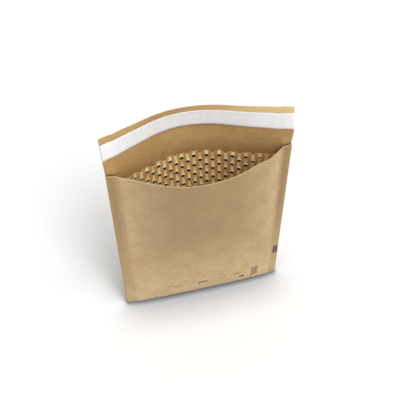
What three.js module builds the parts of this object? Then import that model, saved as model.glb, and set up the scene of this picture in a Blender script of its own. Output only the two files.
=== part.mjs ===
// Padded envelope of kraft paper with an expanded slit-paper lining, standing open.
// Millimetres. +X runs along the bottom fold, -Y is the front and +Z is up.
// The folded bottom rests on z = 0, and the origin is the middle of its flat spot.
import * as THREE from 'three';

// The kraft sheet laid flat
const WIDTH = 240;
const PANEL_HEIGHT = 275;
const SEAM_WIDTH = 11;
const FLAP_FOOT = 21.5;
const STRIP_WIDTH = 20;
const FLAP_HEM = 8.5;

// Thickness of each paper and glue layer, and the air kept between two layers
const KRAFT = 0.4;
const LINING_PAPER = 0.4;
const SEAM_GLUE = 0.4;
const TAPE_GLUE = 0.3;
const RELEASE_PAPER = 0.3;
const CLEARANCE = 0.3;

// How far the walls stand off the plane of the seams at the mouth, and the flap at its strip.
// The front's bow is a little fuller in the middle than a parabola.
// The back bows in a soft tent, whose round ridge lies a little left of the middle.
const FRONT_BOW = 33.6;
const FRONT_POINTEDNESS = 1.34;
const BACK_BOW = 44.5;
const FLAP_BOW = 55;
const FLAP_CORNER_SET = 1.5;
const RIDGE_AT = -9;
const RIDGE_ROUND = 54;

// The padding swells beside each seam
const PUFF = 1.2;
const PUFF_REACH = 7;

// The flattened fold that the envelope stands on. Its middle is set back from the seams,
// and it keeps its depth over most of the width.
const FLOOR_DEPTH = 16;
const FLOOR_SET_BACK = 6.6;
const FLOOR_SQUARENESS = 4;
const FOLD_RADIUS = 5;
const SEAM_FOLD_FLAT = 0.6;
const LEAN_BACK = 0.012;

// Tilts in radians. The strip leans back at its ends, a twist more at the right one,
// and the hem leans back off the strip. Both are curled forward again in the middle.
const STRIP_TILT = 0.24;
const STRIP_TWIST = 0.08;
const STRIP_CURL = 0.13;
const HEM_TILT = 0.03;
const HEM_CURL = 0.2;

// The lining: one web of slit paper, pulled open into cells
const LINING_INSET = 15;
const LINING_TRIM = 1;
const CELL_PITCH = 8.4;
const ROW_PITCH = 7.1;
const CELL_RISE = 2.6;
const CELL_DROOP = 1.5;
const CELL_SHARE_OF_ROOM = 0.3;
const SLIT_WIDTH = 5.6;
const SLIT_HEIGHT = 3.2;
const SLIT_ROWS = 9;
const CLOSED_CELLS = 2;

// Glue in the side seams, and the adhesive under the release paper
const GLUE_TRIM = 2;
const GLUE_ABOVE_FOLD = 10;
const TAPE_GLUE_EDGE = 2.5;
const TAPE_GLUE_END = 4;
const RELEASE_TRIM = 0.5;

// Worked out from the sizes above
const HALF = WIDTH / 2;
const INNER = HALF - SEAM_WIDTH;
const LINING_DEPTH = KRAFT + CLEARANCE;
const GLUE_DEPTH = LINING_DEPTH + LINING_PAPER + CLEARANCE;
const SEAM_STACK = 2 * GLUE_DEPTH + SEAM_GLUE;
const STRIP_START = PANEL_HEIGHT + FLAP_FOOT;
const HEM_START = STRIP_START + STRIP_WIDTH;
const FLAP_END = HEM_START + FLAP_HEM;
const LINING_TOP = PANEL_HEIGHT - LINING_INSET;
const WALL_START = FLOOR_DEPTH / 2 + 2 * FOLD_RADIUS;
const DRAW_IN = INNER - bowedChord(2 * INNER, FRONT_BOW) / 2;
const FRONT = -1;
const BACK = 1;

// How finely the kraft wall, the round of the fold, the strip and the glue are divided
const WALL_STEPS = 7;
const FOLD_STEPS = 3;
const BAND_STEPS = 2;

// What a flat width spans once it is bowed into a shallow parabola
function bowedChord(width, bow) {
  const roughChord = width - (8 * bow * bow) / (3 * width);
  return width - (8 * bow * bow) / (3 * roughChord);
}

// Place across the padded width: -1 and 1 at the seams, 0 in the middle
function shareAcross(u) {
  return THREE.MathUtils.clamp(u / INNER, -1, 1);
}

// 1 in the middle of the width and 0 at the seams
function lens(u) {
  return 1 - shareAcross(u) ** 2;
}

// 1 on the ridge and 0 at both ends of a width: two straight slopes joined by a round ridge
function softTent(u, halfWidth) {
  const slopeWidth = u < RIDGE_AT ? halfWidth + RIDGE_AT : halfWidth - RIDGE_AT;
  const away = Math.min(Math.abs(u - RIDGE_AT), slopeWidth);
  const fall = (x) => (x < RIDGE_ROUND ? (x * x) / (2 * RIDGE_ROUND) : x - RIDGE_ROUND / 2);
  return 1 - fall(away) / fall(slopeWidth);
}

function puff(u) {
  const reach = Math.max(0, INNER - Math.abs(u)) / PUFF_REACH;
  return PUFF * reach * Math.exp(1 - reach);
}

// How far a wall's outer face stands off the seam plane at the mouth
function mouthOffset(u, side) {
  const bow = side === FRONT ? FRONT_BOW * lens(u) ** FRONT_POINTEDNESS : BACK_BOW * softTent(u, INNER);
  return SEAM_STACK / 2 + puff(u) + bow;
}

// The flap is free of the seams, so its bow reaches to its side edges
function stripOffset(u) {
  return FLAP_BOW * softTent(u, HALF) - FLAP_CORNER_SET;
}

// The bottom fold at one place across: a flat floor between two quarter rounds,
// pinched almost sharp in the seams
function fold(u) {
  const open = 1 - Math.abs(shareAcross(u)) ** FLOOR_SQUARENESS;
  const seamRadius = (SEAM_STACK - SEAM_FOLD_FLAT) / 2;
  const radius = THREE.MathUtils.lerp(seamRadius, FOLD_RADIUS, open) + puff(u);
  const flat = THREE.MathUtils.lerp(SEAM_FOLD_FLAT, FLOOR_DEPTH, open) / 2;
  return { radius, flat, centre: FLOOR_SET_BACK * open };
}

// A wall's outward slope is constant from the fold to the mouth, so it is ruled by straight lines
function wallTilt(u, side) {
  const { radius, flat, centre } = fold(u);
  const foldOffset = flat + radius + side * centre;
  const slope = (mouthOffset(u, side) - foldOffset) / PANEL_HEIGHT;
  return Math.atan(slope + side * LEAN_BACK);
}

// The straight runs of a wall and, above the back one, of the flap: where each starts and its tilt
function runs(u, side) {
  const tilt = wallTilt(u, side);
  const wall = { start: 0, tilt };
  if (side === FRONT) return [wall];
  const flapSlope = (stripOffset(u) - mouthOffset(u, BACK)) / FLAP_FOOT;
  const ridge = softTent(u, HALF);
  const stripTilt = STRIP_TILT + (STRIP_TWIST * u) / HALF - STRIP_CURL * ridge;
  const hemTilt = stripTilt + HEM_TILT - HEM_CURL * ridge;
  return [
    wall,
    { start: PANEL_HEIGHT, tilt: Math.atan(flapSlope + LEAN_BACK) },
    { start: STRIP_START, tilt: stripTilt },
    { start: HEM_START, tilt: hemTilt },
  ];
}

// The seams keep their width while the padded part between them draws in towards the mouth
function across(u, rise) {
  const drawn = DRAW_IN * THREE.MathUtils.clamp(rise / PANEL_HEIGHT, 0, 1);
  const inner = INNER - drawn;
  if (Math.abs(u) <= INNER) return (u * inner) / INNER;
  return Math.sign(u) * (inner + Math.abs(u) - INNER);
}

// A point of the folded sheet, depth below its outer face.
// A station is either { turn }, a share of the fold's round, or { rise }, a length up the wall.
function place(u, station, side, depth) {
  const { radius, flat, centre } = fold(u);
  const sweep = Math.PI / 2 - wallTilt(u, side);
  const angle = sweep * (station.turn ?? 1);
  let y = flat + (radius - depth) * Math.sin(angle);
  let z = radius - (radius - depth) * Math.cos(angle);
  if (station.rise !== undefined) {
    let from = flat + radius * sweep;
    const wallRuns = runs(u, side).filter((run) => run.start <= station.rise);
    wallRuns.forEach(({ tilt }, index) => {
      const next = wallRuns[index + 1];
      const crease = next ? depth * Math.tan((next.tilt - tilt) / 2) : 0;
      const length = (next ? next.start : station.rise) + crease - from;
      y += Math.sin(tilt) * length;
      z += Math.cos(tilt) * length;
      if (next) from = next.start - crease;
    });
  }
  return new THREE.Vector3(across(u, station.rise ?? 0), centre + side * y - FLOOR_SET_BACK, z);
}

// Room between the two walls at a height, less the papers on both sides
function roomBetween(u, rise) {
  const { radius, flat } = fold(u);
  const atFold = 2 * (radius + flat);
  const atMouth = mouthOffset(u, FRONT) + mouthOffset(u, BACK);
  return THREE.MathUtils.lerp(atFold, atMouth, rise / PANEL_HEIGHT) - 2 * GLUE_DEPTH;
}

function steps(from, to, count) {
  return Array.from({ length: count + 1 }, (_, index) => THREE.MathUtils.lerp(from, to, index / count));
}

// Places across a sheet: its trimmed edge, the seam's inner line, and one for each cell
function columns(trim) {
  const cells = Math.round((2 * INNER) / CELL_PITCH);
  return [-(HALF - trim), ...steps(-INNER, INNER, cells), HALF - trim];
}

// Stations down the back wall, round the fold and up the front wall
function foldedPath(backRises, frontRises) {
  const turns = steps(1, 0, FOLD_STEPS);
  return [
    ...backRises.map((rise) => ({ rise, side: BACK })),
    ...turns.map((turn) => ({ turn, side: BACK })),
    ...[...turns].reverse().map((turn) => ({ turn, side: FRONT })),
    ...frontRises.map((rise) => ({ rise, side: FRONT })),
  ];
}

// A layer of the folded sheet: face 0 looks out of the envelope and face 1 looks into it
function layer(outerDepth, thickness) {
  return (u, station, face, lift) => place(u, station, station.side, outerDepth + face * thickness + lift);
}

// A closed sheet over a grid of columns and stations, built tile by tile.
// Each tile is a diamond about a grid point of odd parity, split in up to four triangles.
// Its middle may be lifted and moved along, or opened into a slit with a lip above and a sill below.
function sheet(columnsAcross, stations, pointAt, cell = () => ({})) {
  const positions = [];
  const indices = [];
  const known = new Map();
  const lastColumn = columnsAcross.length - 1;
  const lastStation = stations.length - 1;

  function vertex(column, row, face, shift = {}) {
    const { tag = '', along = 0, aside = 0, lift = 0 } = shift;
    const key = [column, row, face, tag].join();
    if (!known.has(key)) {
      const station = { ...stations[row] };
      if (along) station.rise += along;
      const point = pointAt(columnsAcross[column] + aside, station, face, lift);
      known.set(key, positions.length / 3);
      positions.push(point.x, point.y, point.z);
    }
    return known.get(key);
  }

  // The same triangle on both faces, turned over on the outer one
  function bothFaces(a, b, c) {
    indices.push(a(1), b(1), c(1), a(0), c(0), b(0));
  }

  // The strip that joins both faces along an edge
  function rim(a, b) {
    indices.push(a(0), b(0), b(1), a(0), b(1), a(1));
  }

  // A tile with no slit. One on the edge of the sheet lacks a corner and has a rim there.
  function closedTile(middle, corners) {
    corners.forEach((corner, index) => {
      const before = corners[(index + 3) % 4];
      const next = corners[(index + 1) % 4];
      if (corner && next) bothFaces(middle, corner, next);
      if (!corner && before) rim(before, middle);
      if (!corner && next) rim(middle, next);
    });
  }

  function slitTile(lip, sill, left, right, [east, up, west, down]) {
    bothFaces(lip, right, up);
    bothFaces(right, east, up);
    bothFaces(lip, up, left);
    bothFaces(left, up, west);
    bothFaces(sill, down, right);
    bothFaces(right, down, east);
    bothFaces(sill, left, down);
    bothFaces(left, west, down);
    rim(lip, right);
    rim(right, sill);
    rim(sill, left);
    rim(left, lip);
  }

  function tile(column, row) {
    const { slit, along, lift } = cell(column, row);
    const at = (c, r) => (face) => vertex(c, r, face);
    const middle = (shift) => (face) => vertex(column, row, face, shift);
    const corners = [
      column < lastColumn && at(column + 1, row),
      row > 0 && at(column, row - 1),
      column > 0 && at(column - 1, row),
      row < lastStation && at(column, row + 1),
    ];
    if (!slit) {
      closedTile(middle({ along, lift }), corners);
      return;
    }
    const endLift = lift * (1 - SLIT_WIDTH / 2 / CELL_PITCH);
    const lip = middle({ tag: 'lip', along: SLIT_HEIGHT / 2, lift });
    const sill = middle({ tag: 'sill', along: -SLIT_HEIGHT / 2 });
    const left = middle({ tag: 'left', aside: -SLIT_WIDTH / 2, lift: endLift });
    const right = middle({ tag: 'right', aside: SLIT_WIDTH / 2, lift: endLift });
    slitTile(lip, sill, left, right, corners);
  }

  for (let column = 0; column <= lastColumn; column += 1) {
    for (let row = 0; row <= lastStation; row += 1) {
      if ((column + row) % 2 === 1) tile(column, row);
    }
  }
  const geometry = new THREE.BufferGeometry();
  geometry.setAttribute('position', new THREE.Float32BufferAttribute(positions, 3));
  geometry.setIndex(indices);
  geometry.computeVertexNormals();
  return geometry;
}

// Kraft paper, cream slit paper, hot melt and white release paper
const paper = (color, roughness) => new THREE.MeshStandardMaterial({ color, roughness, metalness: 0 });
const kraft = paper('#b59a74', 0.85);
const liningPaper = paper('#b9985f', 0.9);
const hotMelt = paper('#e4dcc4', 0.45);
const releasePaper = paper('#dedad5', 0.6);

function part(name, geometry, material) {
  const mesh = new THREE.Mesh(geometry, material);
  mesh.name = name;
  return mesh;
}

// Front panel, bottom fold, back panel and flap: one folded sheet
function outerEnvelope() {
  const wallRises = steps(PANEL_HEIGHT, WALL_START, WALL_STEPS);
  const flapRises = [FLAP_END, HEM_START, (HEM_START + STRIP_START) / 2, STRIP_START];
  const path = foldedPath([...flapRises, ...wallRises], [...wallRises].reverse());
  return part('outer_envelope', sheet(columns(0), path, layer(0, KRAFT)), kraft);
}

// The slit paper web lies inside the kraft sheet and is caught flat in the seams
function honeycombLining() {
  const columnsAcross = columns(LINING_TRIM);
  const rowCount = 2 * Math.round((LINING_TOP - WALL_START) / ROW_PITCH / 2);
  const rises = steps(LINING_TOP, WALL_START, rowCount);
  const path = foldedPath(rises, [...rises].reverse());
  const lastColumn = columnsAcross.length - 1;
  const cell = (column, row) => {
    const { rise } = path[row];
    if (rise === undefined) return {};
    const room = roomBetween(columnsAcross[column], rise);
    const lift = THREE.MathUtils.clamp(CELL_SHARE_OF_ROOM * room, 0, CELL_RISE);
    const onWall = row > 0 && path[row + 1] !== undefined;
    const clearOfSeams = Math.min(column, lastColumn - column) > CLOSED_CELLS;
    if (!onWall || !clearOfSeams) return { lift };
    if (row <= SLIT_ROWS) return { lift, slit: true };
    return { lift, along: -CELL_DROOP };
  };
  const web = sheet(columnsAcross, path, layer(LINING_DEPTH, LINING_PAPER), cell);
  return part('honeycomb_lining', web, liningPaper);
}

// A layer that lies along the strip on the inner face of the flap
function flapStrip(name, trimAcross, trimAlong, depth, thickness, material) {
  const rises = steps(HEM_START - trimAlong, STRIP_START + trimAlong, BAND_STEPS);
  const path = rises.map((rise) => ({ rise, side: BACK }));
  return part(name, sheet(columns(trimAcross), path, layer(depth, thickness)), material);
}

function flapAdhesive() {
  const depth = KRAFT + CLEARANCE;
  return flapStrip('flap_adhesive', TAPE_GLUE_END, TAPE_GLUE_EDGE, depth, TAPE_GLUE, hotMelt);
}

function releaseLiner() {
  const depth = KRAFT + TAPE_GLUE + 2 * CLEARANCE;
  return flapStrip('release_liner', RELEASE_TRIM, RELEASE_TRIM, depth, RELEASE_PAPER, releasePaper);
}

// The bead of glue between the two leaves of the lining, inside a seam
function seamGlue(name, seam) {
  const edges = [INNER + GLUE_TRIM, HALF - GLUE_TRIM].map((edge) => seam * edge);
  const rises = steps(LINING_TOP - GLUE_TRIM, GLUE_ABOVE_FOLD, BAND_STEPS);
  const between = (u, station, face) => place(u, station, face ? FRONT : BACK, GLUE_DEPTH);
  const bead = sheet(edges.sort((a, b) => a - b), rises.map((rise) => ({ rise })), between);
  return part(name, bead, hotMelt);
}

// The envelope as a whole
const envelope = new THREE.Group();
envelope.add(outerEnvelope(), honeycombLining(), flapAdhesive(), releaseLiner());
envelope.add(seamGlue('left_seam_glue', -1), seamGlue('right_seam_glue', 1));

export default envelope;
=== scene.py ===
"""Padded kraft envelope, standing open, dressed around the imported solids."""

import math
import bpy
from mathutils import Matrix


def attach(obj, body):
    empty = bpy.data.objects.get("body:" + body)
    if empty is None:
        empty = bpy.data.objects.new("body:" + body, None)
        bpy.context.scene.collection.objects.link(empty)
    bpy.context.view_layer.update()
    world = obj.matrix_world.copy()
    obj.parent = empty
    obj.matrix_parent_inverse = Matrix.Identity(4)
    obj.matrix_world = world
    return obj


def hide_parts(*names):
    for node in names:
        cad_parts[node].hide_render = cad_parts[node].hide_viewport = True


bl_info = {
    "name": "Padded envelope",
    "version": (1, 0, 0),
    "blender": (4, 5, 0),
    "location": "View3D > Sidebar > Envelope",
    "description": "Kraft paper envelope with a slit-paper lining, standing open on its bottom fold",
    "category": "Object",
}

import bmesh
import bpy
import numpy as np
from bpy.props import FloatProperty, FloatVectorProperty, IntProperty, PointerProperty
from mathutils import Matrix, Vector

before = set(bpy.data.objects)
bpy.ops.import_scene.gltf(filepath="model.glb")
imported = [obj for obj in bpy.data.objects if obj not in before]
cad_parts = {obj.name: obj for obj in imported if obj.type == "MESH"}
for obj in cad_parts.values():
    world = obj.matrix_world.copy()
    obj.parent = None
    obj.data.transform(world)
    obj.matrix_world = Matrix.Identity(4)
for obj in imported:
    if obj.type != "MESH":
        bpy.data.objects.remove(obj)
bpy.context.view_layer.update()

MM = 0.001
BODY = "root"
BACK = 1
FRONT = -1


def hex_linear(code):
    """The linear colour of an sRGB hex value such as #c8b08a."""
    channels = [int(code[i:i + 2], 16) / 255 for i in (1, 3, 5)]
    return [c / 12.92 if c <= 0.04045 else ((c + 0.055) / 1.055) ** 2.4 for c in channels]


def length(name, default_mm, description):
    return FloatProperty(
        name=name, description=description, default=default_mm * MM, unit="LENGTH", precision=4
    )


def number(name, default, description):
    return FloatProperty(name=name, description=description, default=default)


def angle(name, radians, description):
    return FloatProperty(name=name, description=description, default=radians, subtype="ANGLE")


def count(name, default, description):
    return IntProperty(name=name, description=description, default=default, min=1)


def colour(name, code, description):
    return FloatVectorProperty(
        name=name, description=description, subtype="COLOR", size=3, min=0, max=1,
        default=hex_linear(code),
    )


class EnvelopeSizes(bpy.types.PropertyGroup):
    """The folded sheet, its flap and the layers on it"""

    width: length("Width", 240, "Width of the kraft sheet")
    panel_height: length("Panel height", 275, "Bottom fold to mouth, along the paper")
    seam_width: length("Seam width", 11, "Glued margin along each side")
    flap_foot: length("Flap foot", 21.5, "Mouth to the release strip")
    strip_width: length("Strip width", 20, "Width of the release strip")
    flap_hem: length("Flap hem", 8.5, "Bare kraft band above the strip")
    kraft: length("Kraft paper", 0.4, "Thickness of the outer sheet")
    release_paper: length("Release paper", 0.3, "Thickness of the release strip")
    release_lift: length("Release lift", 1.1, "How far up the strip's place the release strip is stuck")
    release_trim: length("Release trim", 0.5, "Side edge of the kraft sheet to the release strip's end")
    flap_glue: length("Flap glue", 0.3, "Thickness of the flap's adhesive")
    glue_trim: length("Glue trim", 4, "Side edge of the kraft sheet to the adhesive's end")
    glue_margin: length("Glue margin", 2.5, "Edge of the release strip's place to the adhesive's edge")
    lining_depth: length("Lining depth", 0.7, "Outer face of the kraft sheet to the lining")
    release_depth: length("Release depth", 1.3, "Outer face of the kraft sheet to the release strip")
    seam_stack: length("Seam stack", 3.2, "Thickness of all the layers in a side seam")
    front_bow: length("Front bow", 33.6, "How far the front stands off the seams at the mouth")
    front_pointedness: number("Front pointedness", 1.34, "How much fuller the front's bow is in the middle")
    front_swell: length("Front swell", 4.2, "How much fuller the front is beside its right seam")
    swell_at: length("Swell place", 89, "Where that swell lies across the width")
    swell_reach: length("Swell reach", 13, "Half the width of that swell")
    back_bow: length("Back bow", 44.5, "How far the back stands off the seams at the mouth")
    flap_bow: length("Flap bow", 55, "How far the flap stands off the seams at its strip")
    flap_corner_set: length("Flap corner set", 1.5, "How far the flap's corners come forward")
    ridge_at: length("Ridge place", -9, "Where the back's soft ridge lies across the width")
    ridge_round: length("Ridge round", 54, "Half the width that the soft ridge is round over")
    puff: length("Puff", 1.2, "Swell of the padding beside the seams")
    puff_reach: length("Puff reach", 7, "Distance from the seam to the top of the swell")
    floor_depth: length("Floor depth", 16, "Depth of the flat spot in the middle of the fold")
    floor_set_back: length("Floor set-back", 6.6, "How far the flat spot lies behind the seams")
    floor_squareness: number("Floor squareness", 4, "How well the flat spot keeps its depth to the seams")
    fold_radius: length("Fold radius", 5, "Round of the bottom fold")
    seam_fold_flat: length("Seam fold flat", 0.6, "Depth of the flat spot in the seams")
    lean_back: number("Lean", 0.012, "Backward slope of the seams")
    strip_tilt: angle("Strip tilt", 0.28, "Backward tilt of the strip")
    strip_twist: angle("Strip twist", 0.08, "How much more the strip tilts at its right end")
    strip_curl: angle("Strip curl", 0.13, "How much less the strip tilts on the ridge")
    hem_tilt: angle("Hem tilt", 0.05, "Tilt of the hem off the strip")
    hem_twist: angle("Hem twist", -0.12, "How much more the hem tilts at its right end")
    hem_curl: angle("Hem curl", 0.44, "How much less the hem tilts on the ridge")
    crease_reach: length("Crease reach", 6, "How far to each side a crease of the flap is rounded")
    corner_sag: length("Corner sag", 2.2, "How far the mouth and the flap sag just inside the seams")
    corner_reach: length("Corner reach", 11, "Half the width of that sag")
    seam_gape: length("Seam gape", 0.4, "How far the front leaf gapes at the top of each seam")
    gape_inside: length("Gape inside", 3, "How far inside each seam that gape begins")
    gape_reach: length("Gape reach", 5, "How far across that gape takes to open")


class LiningSizes(bpy.types.PropertyGroup):
    """The expanded slit paper"""

    inset: length("Inset", 15, "Mouth to the lining's upper edge")
    trim: length("Trim", 1, "Side edge of the kraft sheet to the lining's side edge")
    paper: length("Paper", 0.3, "Thickness of the slit paper")
    columns: count("Columns", 26, "Cells across the padded width")
    rows: count("Rows", 34, "Half cells up a wall")
    stand_off: length("Stand-off", 0.6, "How far the web stands off the kraft sheet between its ridges")
    ridge: length("Ridge", 0.9, "How far the paper between two slits bulges towards the pocket")
    flare: length("Flare", 0.6, "How much further a slit's lip flares out")
    slit_half: length("Half slit", 3.1, "Half the length of a slit")
    lip_lift: length("Lip lift", 3.0, "How far an open slit's lip is pulled up")
    sill_drop: length("Sill drop", 2.2, "How far an open slit's sill is pulled down")
    ragged: length("Ragged edge", 1.5, "How unevenly the web is torn off along its upper edge")
    squashed_reach: length("Squashed reach", 45, "How far from the seams the web is squashed flatter")
    share_of_room: number("Share of room", 0.3, "Share of the room between the walls that a cell may take")


class EnvelopeColours(bpy.types.PropertyGroup):
    """Colours seen in the photograph, as they look in plain light"""

    kraft: colour("Kraft", "#b0946e", "Brown kraft paper")
    # Painted light: the kraft is painted paler towards its fold and its sides. The same colour also
    # lightens the worn mouth edge.
    kraft_light: colour("Kraft light", "#ecd2a6", "The paler kraft towards its fold and its side edges")
    # Darker clouds, fibres and streaks, and also the painted shade beside the seams.
    kraft_dark: colour("Kraft dark", "#9b7f5a", "Darker clouds and fibres in the kraft")
    kraft_edge: colour("Kraft edge", "#be965a", "The warmer rim of the kraft sheet")
    kraft_pulp: colour("Kraft pulp", "#cbb084", "The pulp on the cut edge")
    kraft_inside: colour("Kraft inside", "#c6a06b", "The inner side of the kraft sheet")
    # Darker clouds, fibres and streaks inside, and also a little painted shade beside the seams.
    kraft_inside_dark: colour("Kraft inside dark", "#a67d49", "Darker clouds on the inner side")
    # Painted highlight: the hem is painted lighter towards its right end.
    hem_painted_highlight: colour("Kraft hem", "#ecca92", "The sheen of the hem towards its right end")
    # Painted shade: a dark colour for the kraft behind the web and for the gap at each seam's top.
    kraft_painted_shade: colour("Kraft behind", "#2b1e10", "The kraft behind the web, seen through its slits")
    lining: colour("Lining", "#ffebae", "Slit paper on its ridges")
    # Painted shade: the slit paper between its ridges and towards each sill.
    lining_painted_shade: colour("Lining dark", "#cfa062", "Slit paper between its ridges")
    # Painted highlight on the slits' lips.
    lining_painted_highlight: colour("Lining edge", "#fffdf6", "Torn fibre on the slits' lips")
    # Darker fibres in the slit paper, and also the painted shadow above the web on the kraft's inner side.
    lining_fibre_and_shadow: colour("Lining shade", "#966b3a", "Darker fibres in the slit paper")
    release: colour("Release paper", "#f8f7f6", "White coated paper")
    # Painted shade of soft cockles in the coated paper.
    release_cockle_shade: colour("Release dark", "#f3f2f0", "Soft cockles in the coated paper")
    adhesive: colour("Adhesive", "#e4dcc4", "Cream hot melt")
    adhesive_dark: colour("Adhesive dark", "#cbbd99", "Streaks in the hot melt")
    ink: colour("Ink", "#463e36", "Soft grey-brown printing ink")
    ground: colour("Ground", "#ffffff", "White studio floor")
    ground_shade: colour("Ground shade", "#b0b6c0", "The floor where the envelope stands close to it")
    contact_shade: colour("Contact shade", "#777a81", "The floor right beside the bottom fold")


class StageSizes(bpy.types.PropertyGroup):
    """The camera and the lights"""

    focal: length("Lens", 43.94, "Focal length on a 36 mm sensor")
    azimuth: angle("Azimuth", math.radians(-13.61), "Camera turn about the vertical")
    pitch: angle("Pitch", math.radians(48.2), "Camera height above the horizon")
    roll: angle("Roll", math.radians(-0.46), "Camera roll")
    distance: length("Distance", 622.2, "Camera to the point it looks at")
    target_x: length("Target X", -2.5, "Point that the camera looks at")
    target_y: length("Target Y", -5.6, "Point that the camera looks at")
    target_z: length("Target Z", 203.7, "Point that the camera looks at")
    shade_reach: length("Shade reach", 70, "How far from the envelope the floor is shaded")
    contact_reach: length("Contact reach", 9, "How far from the bottom fold the floor is darkest")
    sky: number("Sky", 0.545, "Strength of the even light from all sides")
    softness: angle("Softness", math.radians(25), "Width of each lamp as seen from the part")
    key_azimuth: angle("Key azimuth", math.radians(25), "Turn of the key light, front to right")
    key_height: angle("Key height", math.radians(50), "Height of the key light above the horizon")
    key_strength: number("Key strength", 1.05, "Strength of the key light")
    side_azimuth: angle("Side azimuth", math.radians(50), "Turn of the side light, front to right")
    side_height: angle("Side height", math.radians(65), "Height of the side light above the horizon")
    side_strength: number("Side strength", 0.72, "Strength of the side light")


class Form:
    """The folded sheet as a formula: the one that the solids were made by, with a little more sag, gape
    and swell."""

    def __init__(self):
        scene = bpy.context.scene
        self.sizes = scene.envelope_sizes
        self.half = self.sizes.width / 2
        self.inner = self.half - self.sizes.seam_width
        self.strip_start = self.sizes.panel_height + self.sizes.flap_foot
        self.hem_start = self.strip_start + self.sizes.strip_width
        self.flap_end = self.hem_start + self.sizes.flap_hem
        self.wall_start = self.sizes.floor_depth / 2 + 2 * self.sizes.fold_radius
        self.draw_in = self.inner - self.bowed_chord(2 * self.inner, self.sizes.front_bow) / 2
        self.wave = Ripples()

    @staticmethod
    def bowed_chord(width, bow):
        rough = width - 8 * bow * bow / (3 * width)
        return width - 8 * bow * bow / (3 * rough)

    def lens(self, u):
        return 1 - np.clip(u / self.inner, -1, 1) ** 2

    def soft_tent(self, u, half):
        """1 on the ridge and 0 at both ends of a width: two straight slopes joined by a round ridge."""
        ridge, rounded = self.sizes.ridge_at, self.sizes.ridge_round
        slope_width = np.where(u < ridge, half + ridge, half - ridge)
        away = np.minimum(np.abs(u - ridge), slope_width)

        def fall(x):
            return np.where(x < rounded, x * x / (2 * rounded), x - rounded / 2)

        return 1 - fall(away) / fall(slope_width)

    def puff(self, u):
        reach = np.maximum(0, self.inner - np.abs(u)) / self.sizes.puff_reach
        return self.sizes.puff * reach * np.exp(1 - reach)

    def swell(self, u):
        s = self.sizes
        off_seam = np.clip((self.inner - np.abs(u)) / s.seam_width, 0, 1)
        return s.front_swell * off_seam * np.exp(-((u - s.swell_at) / s.swell_reach) ** 2)

    def mouth_offset(self, u, side):
        s = self.sizes
        front = s.front_bow * self.lens(u) ** s.front_pointedness + self.swell(u)
        back = s.back_bow * self.soft_tent(u, self.inner)
        return s.seam_stack / 2 + self.puff(u) + np.where(side < 0, front, back)

    def fold(self, u):
        s = self.sizes
        opening = 1 - np.abs(np.clip(u / self.inner, -1, 1)) ** s.floor_squareness
        seam_radius = (s.seam_stack - s.seam_fold_flat) / 2
        radius = seam_radius + (s.fold_radius - seam_radius) * opening + self.puff(u)
        flat = (s.seam_fold_flat + (s.floor_depth - s.seam_fold_flat) * opening) / 2
        return radius, flat, s.floor_set_back * opening

    def wall_tilt(self, u, side):
        s = self.sizes
        radius, flat, centre = self.fold(u)
        slope = (self.mouth_offset(u, side) - flat - radius - side * centre) / s.panel_height
        return np.arctan(slope + side * s.lean_back)

    def across(self, u, rise):
        drawn = self.draw_in * np.clip(rise / self.sizes.panel_height, 0, 1)
        inner = self.inner - drawn
        padded = u * inner / self.inner
        seam = np.sign(u) * (inner + np.abs(u) - self.inner)
        return np.where(np.abs(u) <= self.inner, padded, seam)

    def runs(self, u, side):
        """Where the wall and the three runs of the flap begin, and the tilt of each."""
        s = self.sizes
        ridge = self.soft_tent(u, self.half)
        flap_offset = s.flap_bow * ridge - s.flap_corner_set
        foot = (flap_offset - self.mouth_offset(u, BACK)) / s.flap_foot
        strip = s.strip_tilt + s.strip_twist * u / self.half - s.strip_curl * ridge
        hem = strip + s.hem_tilt + s.hem_twist * u / self.half - s.hem_curl * ridge
        return [
            (0.0, self.wall_tilt(u, side)),
            (s.panel_height, np.arctan(foot + s.lean_back)),
            (self.strip_start, strip),
            (self.hem_start, hem),
        ]

    def sag(self, u, rise):
        """The padding holds the sheet down a little just inside the seams, more towards the mouth."""
        s = self.sizes
        away = (np.abs(u) - self.inner) / s.corner_reach
        return s.corner_sag * np.exp(-away ** 2) * np.clip(rise / s.panel_height, 0, 1)

    def gape(self, u, side, rise):
        """The front leaf stands off a little at the top of each seam."""
        s = self.sizes
        in_seam = np.clip((np.abs(u) - self.inner + s.gape_inside) / s.gape_reach, 0, 1)
        near_top = np.clip((rise - s.panel_height + s.seam_width) / s.seam_width, 0, 1)
        return np.where(side < 0, -s.seam_gape * in_seam * near_top ** 2, 0)

    def rounding(self, runs, rise, side):
        """How far the rounded creases of the flap lie from the sharp ones, towards the pocket."""
        reach = self.sizes.crease_reach
        total = 0
        for (_, before), (crease, after) in zip(runs, runs[1:]):
            nearness = np.maximum(0, reach - np.abs(rise - crease))
            total = total - (after - before) * nearness ** 2 / (4 * reach)
        return np.where(side > 0, total, 0)

    def place(self, u, side, turn, rise, depth):
        """Points of the sheet, depth below its outer face. turn is 1 on the walls, rise 0 on the fold."""
        runs = self.runs(u, side)
        depth = depth + self.wave.depth(self, u, side, rise) + self.rounding(runs, rise, side)
        radius, flat, centre = self.fold(u)
        sweep = math.pi / 2 - runs[0][1]
        y = flat + (radius - depth) * np.sin(sweep * turn)
        z = radius - (radius - depth) * np.cos(sweep * turn)
        start = flat + radius * sweep
        for index, (begin, tilt) in enumerate(runs):
            end = rise
            next_start = start
            if index + 1 < len(runs):
                next_begin, next_tilt = runs[index + 1]
                crease = depth * np.tan((next_tilt - tilt) / 2)
                end = np.where((side > 0) & (rise > next_begin), next_begin + crease, rise)
                next_start = next_begin - crease
            walked = (rise > 0) if index == 0 else (side > 0) & (rise > begin)
            y = y + np.where(walked, np.sin(tilt) * (end - start), 0)
            z = z + np.where(walked, np.cos(tilt) * (end - start), 0)
            start = next_start
        y = centre + side * y - self.sizes.floor_set_back
        return np.stack([self.across(u, rise), y, z - self.sag(u, rise)], 1)

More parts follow.
